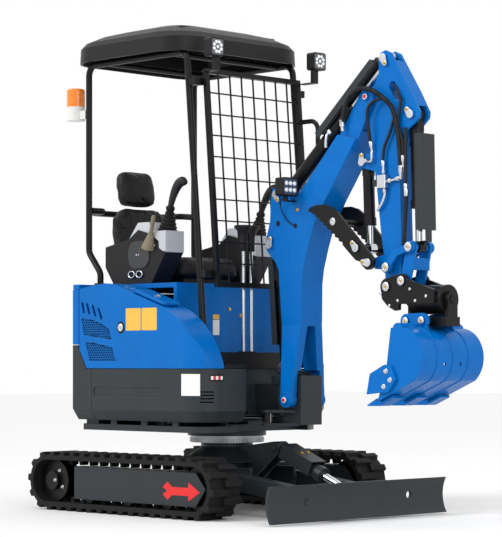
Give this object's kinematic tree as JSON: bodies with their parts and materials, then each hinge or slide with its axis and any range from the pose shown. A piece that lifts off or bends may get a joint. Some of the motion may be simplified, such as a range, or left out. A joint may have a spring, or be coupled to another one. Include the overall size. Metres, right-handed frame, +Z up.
{
  "type": "mini excavator with canopy, dozer blade, tilting bucket and thumb",
  "caption": "Tracked mini excavator with a canopy, mesh guard, dozer blade, swing boom, arm with thumb and a tilting bucket, in blue and grey.",
  "frame": {"origin": "centre of the bounding box on the ground", "axes": "+X forward towards the blade and bucket, +Y to the operator's left, +Z up"},
  "size_m": [2.1455, 1.13, 2.2554],
  "materials": {
    "blue_paint": "gloss blue paint",
    "grey_paint": "satin slate-grey paint",
    "black_paint": "satin black paint",
    "chrome_rod": "polished chrome",
    "bare_steel": "machined steel",
    "track_rubber": "matt black rubber",
    "black_plastic": "moulded black plastic",
    "console_plastic": "silver-grey moulded plastic",
    "seat_vinyl": "black vinyl",
    "beacon_white": "white plastic",
    "beacon_amber": "amber lens"
  },
  "bodies": {
    "undercarriage": {"track_frame": "grey_paint", "track_right": "track_rubber", "track_left": "track_rubber", "drive_sprockets": "black_paint", "idlers": "black_paint", "track_rollers": "black_paint", "slew_ring": "bare_steel"},
    "blade": {"blade": "grey_paint", "blade_arms": "grey_paint"},
    "blade_barrel": {"blade_cylinder_barrel": "grey_paint"},
    "blade_rod": {"blade_cylinder_rod": "chrome_rod"},
    "house": {"house_frame": "grey_paint", "counterweight": "grey_paint", "skirt_right": "grey_paint", "skirt_left": "grey_paint", "cover_right": "blue_paint", "cover_left": "blue_paint", "seat_box": "blue_paint", "engine_block": "bare_steel", "floor_plate": "black_plastic", "seat_cushion": "seat_vinyl", "seat_base": "black_plastic", "seat_back": "seat_vinyl", "headrest": "seat_vinyl", "console_right": "console_plastic", "console_left": "console_plastic", "joysticks": "black_plastic", "travel_levers": "black_plastic", "canopy_tube_right": "black_paint", "canopy_tube_left": "black_paint", "canopy_cross_tubes": "black_paint", "canopy_roof": "black_plastic", "front_guard": "black_paint", "guard_brackets": "black_paint", "work_lamps": "black_plastic", "beacon_base": "beacon_white", "beacon_lens": "beacon_amber"},
    "engine_door": {"engine_door": "blue_paint"},
    "fuel_lid": {"fuel_lid": "blue_paint"},
    "post": {"swing_post": "grey_paint"},
    "swing_barrel": {"swing_cylinder_barrel": "black_paint"},
    "swing_rod": {"swing_cylinder_rod": "chrome_rod"},
    "boom": {"boom": "blue_paint", "boom_lamp": "black_plastic"},
    "boom_barrel": {"boom_cylinder_barrel": "black_paint"},
    "boom_rod": {"boom_cylinder_rod": "chrome_rod"},
    "arm": {"arm": "blue_paint"},
    "arm_barrel": {"arm_cylinder_barrel": "black_paint"},
    "arm_rod": {"arm_cylinder_rod": "chrome_rod"},
    "bucket_barrel": {"bucket_cylinder_barrel": "black_paint"},
    "bucket_rod": {"bucket_cylinder_rod": "chrome_rod"},
    "rocker": {"rocker_links": "blue_paint"},
    "link": {"bucket_link": "blue_paint"},
    "hitch": {"tilt_hitch": "black_paint"},
    "bucket": {"hitch_head": "black_paint", "bucket": "blue_paint", "bucket_teeth": "blue_paint"},
    "thumb": {"thumb": "black_paint"},
    "thumb_barrel": {"thumb_cylinder_barrel": "black_paint"},
    "thumb_rod": {"thumb_cylinder_rod": "chrome_rod"}
  },
  "joints": [
    {"name": "house_swing", "type": "hinge", "parent": "undercarriage", "child": "house", "pos_m": [-0.3, 0, 0.351], "axis": [0, 0, 1], "continuous": true},
    {"name": "post_swing", "type": "hinge", "parent": "house", "child": "post", "pos_m": [0.075, 0, 0.52], "axis": [0, 0, 1], "range_deg": [-40, 50]},
    {"name": "boom_lift", "type": "hinge", "parent": "post", "child": "boom", "pos_m": [0.191, 0, 0.522], "axis": [0, 1, 0], "range_deg": [-3, 44]},
    {"name": "boom_cylinder_hinge", "type": "hinge", "parent": "post", "child": "boom_barrel", "pos_m": [0.095, 0, 0.663], "axis": [0, -1, 0], "range_deg": [-51.98, 4.01]},
    {"name": "boom_cylinder_stroke", "type": "slide", "parent": "boom_barrel", "child": "boom_rod", "axis": [-0.0734, 0, 0.9973], "range_m": [-0.008, 0.104]},
    {"name": "arm_fold", "type": "hinge", "parent": "boom", "child": "arm", "pos_m": [0.623, 0, 1.84], "axis": [0, -1, 0], "range_deg": [-6, 95]},
    {"name": "arm_cylinder_hinge", "type": "hinge", "parent": "boom", "child": "arm_barrel", "pos_m": [0.095, 0, 1.445], "axis": [0, -1, 0], "range_deg": [-1.31, 13.32]},
    {"name": "arm_cylinder_stroke", "type": "slide", "parent": "arm_barrel", "child": "arm_rod", "axis": [0.7445, 0, 0.6676], "range_m": [-0.2271, 0.0153]},
    {"name": "bucket_curl", "type": "hinge", "parent": "arm", "child": "hitch", "pos_m": [0.763, 0, 1.013], "axis": [0, 1, 0], "range_deg": [-27.5, 70]},
    {"name": "rocker_turn", "type": "hinge", "parent": "arm", "child": "rocker", "pos_m": [0.756, 0, 1.096], "axis": [0, -1, 0], "range_deg": [-49.85, 19.89]},
    {"name": "link_turn", "type": "hinge", "parent": "rocker", "child": "link", "pos_m": [0.883, 0, 1.179], "axis": [0, -1, 0], "range_deg": [-11.36, 28.15]},
    {"name": "bucket_cylinder_hinge", "type": "hinge", "parent": "arm", "child": "bucket_barrel", "pos_m": [0.87, 0, 1.745], "axis": [0, -1, 0], "range_deg": [-1.74, 3.65]},
    {"name": "bucket_cylinder_stroke", "type": "slide", "parent": "bucket_barrel", "child": "bucket_rod", "axis": [0.023, 0, -0.9997], "range_m": [-0.0472, 0.1186]},
    {"name": "bucket_tilt", "type": "hinge", "parent": "hitch", "child": "bucket", "pos_m": [0.958, 0, 0.955], "axis": [1, 0, 0], "range_deg": [-40, 40]},
    {"name": "thumb_close", "type": "hinge", "parent": "arm", "child": "thumb", "pos_m": [0.672, 0, 1.118], "axis": [0, 1, 0], "range_deg": [-115, 0]},
    {"name": "thumb_cylinder_hinge", "type": "hinge", "parent": "arm", "child": "thumb_barrel", "pos_m": [0.589, 0, 1.56], "axis": [0, -1, 0], "range_deg": [-0.5, 1.65]},
    {"name": "thumb_cylinder_stroke", "type": "slide", "parent": "thumb_barrel", "child": "thumb_rod", "axis": [0.0372, 0, -0.9993], "range_m": [-0.001, 0.1666]},
    {"name": "blade_lift", "type": "hinge", "parent": "undercarriage", "child": "blade", "pos_m": [-0.035, 0, 0.155], "axis": [0, -1, 0], "range_deg": [-12, 22]},
    {"name": "blade_cylinder_hinge", "type": "hinge", "parent": "undercarriage", "child": "blade_barrel", "pos_m": [0.043, 0, 0.299], "axis": [0, -1, 0], "range_deg": [-13.4, 24.15]},
    {"name": "blade_cylinder_stroke", "type": "slide", "parent": "blade_barrel", "child": "blade_rod", "axis": [0.9258, 0, -0.3779], "range_m": [-0.0617, 0.0341]},
    {"name": "swing_cylinder_hinge", "type": "hinge", "parent": "house", "child": "swing_barrel", "pos_m": [-0.375, -0.225, 0.44], "axis": [0, 0, 1], "range_deg": [-2.25, 1.9]},
    {"name": "swing_cylinder_stroke", "type": "slide", "parent": "swing_barrel", "child": "swing_rod", "axis": [0.9662, 0.2577, 0], "range_m": [-0.0682, 0.085]},
    {"name": "engine_door_hinge", "type": "hinge", "parent": "house", "child": "engine_door", "pos_m": [-0.773, 0.508, 0.9], "axis": [0, 0, -1], "range_deg": [0, 85]},
    {"name": "fuel_lid_hinge", "type": "hinge", "parent": "house", "child": "fuel_lid", "pos_m": [-0.41325, -0.435, 1.02703], "axis": [0, -1, 0], "range_deg": [0, 95]}
  ],
  "couplings": [
    {"joint": "boom_cylinder_hinge", "follows": "boom_lift", "ratio": -1.17},
    {"joint": "boom_cylinder_stroke", "follows": "boom_lift", "m_per_rad": 0.13407},
    {"joint": "arm_cylinder_hinge", "follows": "arm_fold", "ratio": 0.135},
    {"joint": "arm_cylinder_stroke", "follows": "arm_fold", "m_per_rad": -0.13636},
    {"joint": "rocker_turn", "follows": "bucket_curl", "ratio": -0.705},
    {"joint": "link_turn", "follows": "bucket_curl", "ratio": 0.395},
    {"joint": "bucket_cylinder_hinge", "follows": "bucket_curl", "ratio": 0.045},
    {"joint": "bucket_cylinder_stroke", "follows": "bucket_curl", "m_per_rad": 0.096257},
    {"joint": "thumb_cylinder_hinge", "follows": "thumb_close", "ratio": -0.01},
    {"joint": "thumb_cylinder_stroke", "follows": "thumb_close", "m_per_rad": -0.082506},
    {"joint": "blade_cylinder_hinge", "follows": "blade_lift", "ratio": 1.075},
    {"joint": "blade_cylinder_stroke", "follows": "blade_lift", "m_per_rad": -0.15814},
    {"joint": "swing_cylinder_hinge", "follows": "post_swing", "ratio": -0.035},
    {"joint": "swing_cylinder_stroke", "follows": "post_swing", "m_per_rad": 0.096257}
  ]
}
